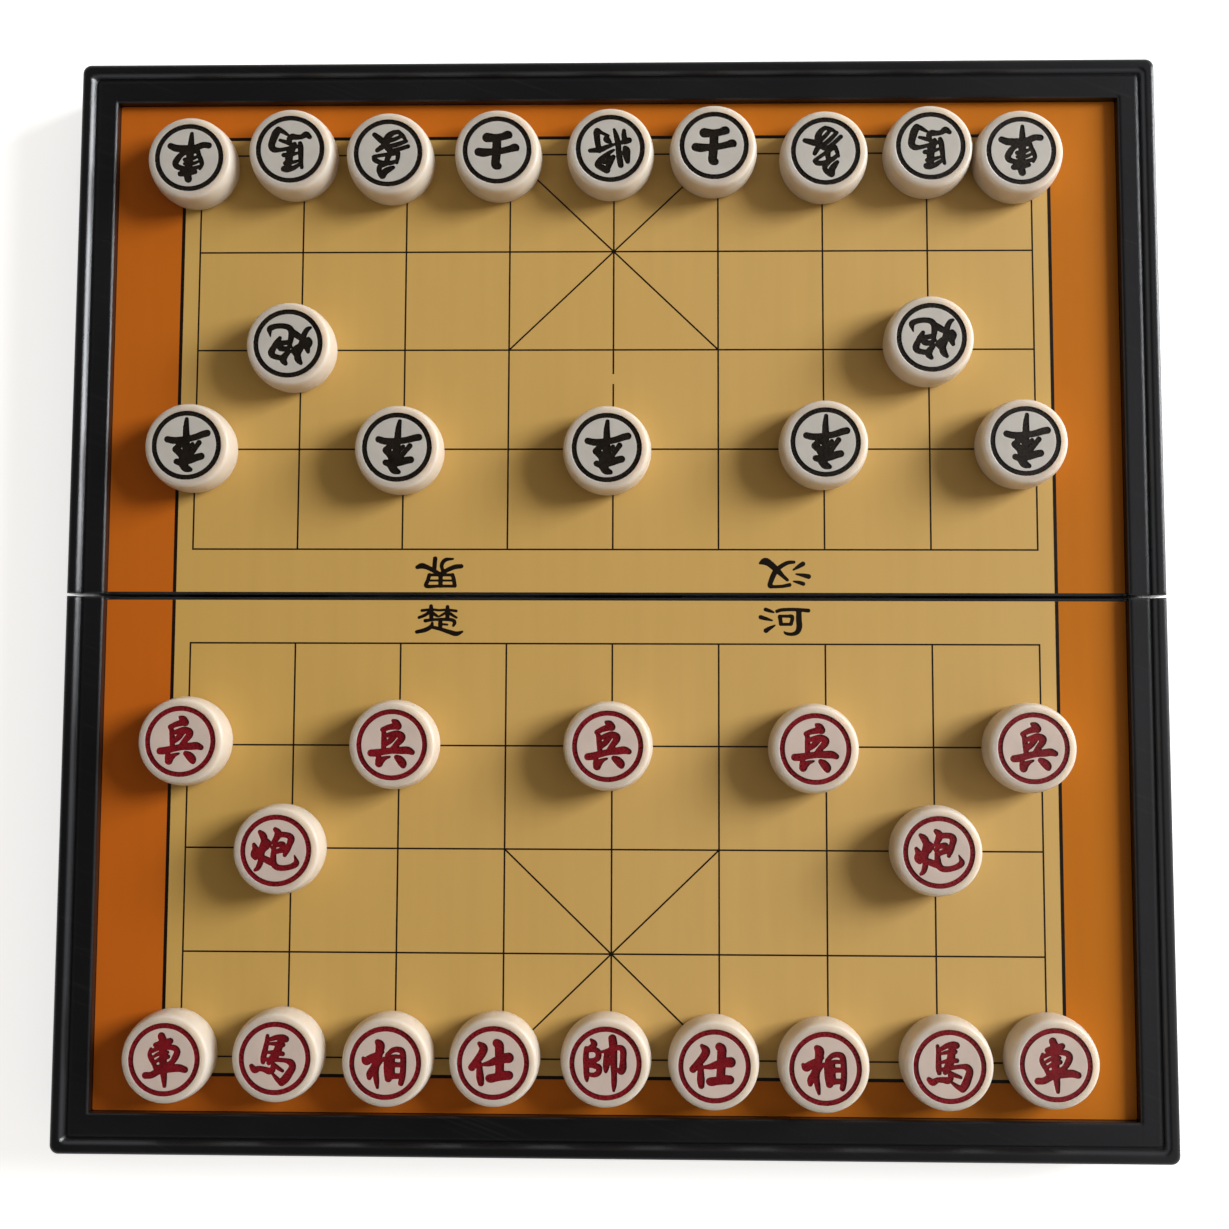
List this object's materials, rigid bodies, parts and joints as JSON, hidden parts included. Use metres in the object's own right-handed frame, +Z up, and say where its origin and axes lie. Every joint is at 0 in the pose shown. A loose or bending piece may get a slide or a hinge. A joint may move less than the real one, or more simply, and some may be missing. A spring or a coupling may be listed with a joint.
{
  "type": "magnetic folding xiangqi set",
  "caption": "Folding magnetic xiangqi set: two hinged moulded plastic trays that open flat into a printed board, with engraved magnetic playing discs set out on it.",
  "frame": {"origin": "on the table under the middle of the seam, with the board opened flat", "axes": "+Z up out of the board, +X along the seam to the right of the red player, +Y across the seam to the black player's end"},
  "size_m": [0.31, 0.31, 0.0258],
  "materials": {
    "frame_plastic": "near-black moulded plastic, glossy rim",
    "printed_film": "ochre printed film with an orange-brown border and dark lines, satin",
    "sheet_steel": "plain thin sheet steel",
    "pin_steel": "drawn steel wire",
    "disc_plastic": "ivory moulded plastic, semi-gloss, engraved marks painted black or crimson"
  },
  "bodies": {
    "near_half": {"near_shell": "frame_plastic", "near_printed_sheet": "printed_film", "near_steel_sheet": "sheet_steel", "hinge_pins": "pin_steel"},
    "far_half": {"far_shell": "frame_plastic", "far_printed_sheet": "printed_film", "far_steel_sheet": "sheet_steel"},
    "red_general": {"red_general": "disc_plastic"},
    "red_advisor_left": {"red_advisor_left": "disc_plastic"},
    "red_advisor_right": {"red_advisor_right": "disc_plastic"},
    "red_elephant_left": {"red_elephant_left": "disc_plastic"},
    "red_elephant_right": {"red_elephant_right": "disc_plastic"},
    "red_horse_left": {"red_horse_left": "disc_plastic"},
    "red_horse_right": {"red_horse_right": "disc_plastic"},
    "red_chariot_left": {"red_chariot_left": "disc_plastic"},
    "red_chariot_right": {"red_chariot_right": "disc_plastic"},
    "red_cannon_left": {"red_cannon_left": "disc_plastic"},
    "red_cannon_right": {"red_cannon_right": "disc_plastic"},
    "red_soldier_1": {"red_soldier_1": "disc_plastic"},
    "red_soldier_2": {"red_soldier_2": "disc_plastic"},
    "red_soldier_3": {"red_soldier_3": "disc_plastic"},
    "red_soldier_4": {"red_soldier_4": "disc_plastic"},
    "red_soldier_5": {"red_soldier_5": "disc_plastic"},
    "black_general": {"black_general": "disc_plastic"},
    "black_advisor_left": {"black_advisor_left": "disc_plastic"},
    "black_advisor_right": {"black_advisor_right": "disc_plastic"},
    "black_elephant_left": {"black_elephant_left": "disc_plastic"},
    "black_elephant_right": {"black_elephant_right": "disc_plastic"},
    "black_horse_left": {"black_horse_left": "disc_plastic"},
    "black_horse_right": {"black_horse_right": "disc_plastic"},
    "black_chariot_left": {"black_chariot_left": "disc_plastic"},
    "black_chariot_right": {"black_chariot_right": "disc_plastic"},
    "black_cannon_left": {"black_cannon_left": "disc_plastic"},
    "black_cannon_right": {"black_cannon_right": "disc_plastic"},
    "black_soldier_1": {"black_soldier_1": "disc_plastic"},
    "black_soldier_2": {"black_soldier_2": "disc_plastic"},
    "black_soldier_3": {"black_soldier_3": "disc_plastic"},
    "black_soldier_4": {"black_soldier_4": "disc_plastic"},
    "black_soldier_5": {"black_soldier_5": "disc_plastic"}
  },
  "joints": [
    {"name": "board_fold", "type": "hinge", "parent": "near_half", "child": "far_half", "pos_m": [0, 0, 0.0022], "axis": [-1, 0, 0], "range_deg": [0, 180]},
    {"name": "red_general_lift", "type": "slide", "parent": "near_half", "child": "red_general", "axis": [0, 0, 1], "range_m": [0, 0.025]},
    {"name": "red_advisor_left_lift", "type": "slide", "parent": "near_half", "child": "red_advisor_left", "axis": [0, 0, 1], "range_m": [0, 0.025]},
    {"name": "red_advisor_right_lift", "type": "slide", "parent": "near_half", "child": "red_advisor_right", "axis": [0, 0, 1], "range_m": [0, 0.025]},
    {"name": "red_elephant_left_lift", "type": "slide", "parent": "near_half", "child": "red_elephant_left", "axis": [0, 0, 1], "range_m": [0, 0.025]},
    {"name": "red_elephant_right_lift", "type": "slide", "parent": "near_half", "child": "red_elephant_right", "axis": [0, 0, 1], "range_m": [0, 0.025]},
    {"name": "red_horse_left_lift", "type": "slide", "parent": "near_half", "child": "red_horse_left", "axis": [0, 0, 1], "range_m": [0, 0.025]},
    {"name": "red_horse_right_lift", "type": "slide", "parent": "near_half", "child": "red_horse_right", "axis": [0, 0, 1], "range_m": [0, 0.025]},
    {"name": "red_chariot_left_lift", "type": "slide", "parent": "near_half", "child": "red_chariot_left", "axis": [0, 0, 1], "range_m": [0, 0.025]},
    {"name": "red_chariot_right_lift", "type": "slide", "parent": "near_half", "child": "red_chariot_right", "axis": [0, 0, 1], "range_m": [0, 0.025]},
    {"name": "red_cannon_left_lift", "type": "slide", "parent": "near_half", "child": "red_cannon_left", "axis": [0, 0, 1], "range_m": [0, 0.025]},
    {"name": "red_cannon_right_lift", "type": "slide", "parent": "near_half", "child": "red_cannon_right", "axis": [0, 0, 1], "range_m": [0, 0.025]},
    {"name": "red_soldier_1_lift", "type": "slide", "parent": "near_half", "child": "red_soldier_1", "axis": [0, 0, 1], "range_m": [0, 0.025]},
    {"name": "red_soldier_2_lift", "type": "slide", "parent": "near_half", "child": "red_soldier_2", "axis": [0, 0, 1], "range_m": [0, 0.025]},
    {"name": "red_soldier_3_lift", "type": "slide", "parent": "near_half", "child": "red_soldier_3", "axis": [0, 0, 1], "range_m": [0, 0.025]},
    {"name": "red_soldier_4_lift", "type": "slide", "parent": "near_half", "child": "red_soldier_4", "axis": [0, 0, 1], "range_m": [0, 0.025]},
    {"name": "red_soldier_5_lift", "type": "slide", "parent": "near_half", "child": "red_soldier_5", "axis": [0, 0, 1], "range_m": [0, 0.025]},
    {"name": "black_general_lift", "type": "slide", "parent": "far_half", "child": "black_general", "axis": [0, 0, 1], "range_m": [0, 0.025]},
    {"name": "black_advisor_left_lift", "type": "slide", "parent": "far_half", "child": "black_advisor_left", "axis": [0, 0, 1], "range_m": [0, 0.025]},
    {"name": "black_advisor_right_lift", "type": "slide", "parent": "far_half", "child": "black_advisor_right", "axis": [0, 0, 1], "range_m": [0, 0.025]},
    {"name": "black_elephant_left_lift", "type": "slide", "parent": "far_half", "child": "black_elephant_left", "axis": [0, 0, 1], "range_m": [0, 0.025]},
    {"name": "black_elephant_right_lift", "type": "slide", "parent": "far_half", "child": "black_elephant_right", "axis": [0, 0, 1], "range_m": [0, 0.025]},
    {"name": "black_horse_left_lift", "type": "slide", "parent": "far_half", "child": "black_horse_left", "axis": [0, 0, 1], "range_m": [0, 0.025]},
    {"name": "black_horse_right_lift", "type": "slide", "parent": "far_half", "child": "black_horse_right", "axis": [0, 0, 1], "range_m": [0, 0.025]},
    {"name": "black_chariot_left_lift", "type": "slide", "parent": "far_half", "child": "black_chariot_left", "axis": [0, 0, 1], "range_m": [0, 0.025]},
    {"name": "black_chariot_right_lift", "type": "slide", "parent": "far_half", "child": "black_chariot_right", "axis": [0, 0, 1], "range_m": [0, 0.025]},
    {"name": "black_cannon_left_lift", "type": "slide", "parent": "far_half", "child": "black_cannon_left", "axis": [0, 0, 1], "range_m": [0, 0.025]},
    {"name": "black_cannon_right_lift", "type": "slide", "parent": "far_half", "child": "black_cannon_right", "axis": [0, 0, 1], "range_m": [0, 0.025]},
    {"name": "black_soldier_1_lift", "type": "slide", "parent": "far_half", "child": "black_soldier_1", "axis": [0, 0, 1], "range_m": [0, 0.025]},
    {"name": "black_soldier_2_lift", "type": "slide", "parent": "far_half", "child": "black_soldier_2", "axis": [0, 0, 1], "range_m": [0, 0.025]},
    {"name": "black_soldier_3_lift", "type": "slide", "parent": "far_half", "child": "black_soldier_3", "axis": [0, 0, 1], "range_m": [0, 0.025]},
    {"name": "black_soldier_4_lift", "type": "slide", "parent": "far_half", "child": "black_soldier_4", "axis": [0, 0, 1], "range_m": [0, 0.025]},
    {"name": "black_soldier_5_lift", "type": "slide", "parent": "far_half", "child": "black_soldier_5", "axis": [0, 0, 1], "range_m": [0, 0.025]}
  ]
}
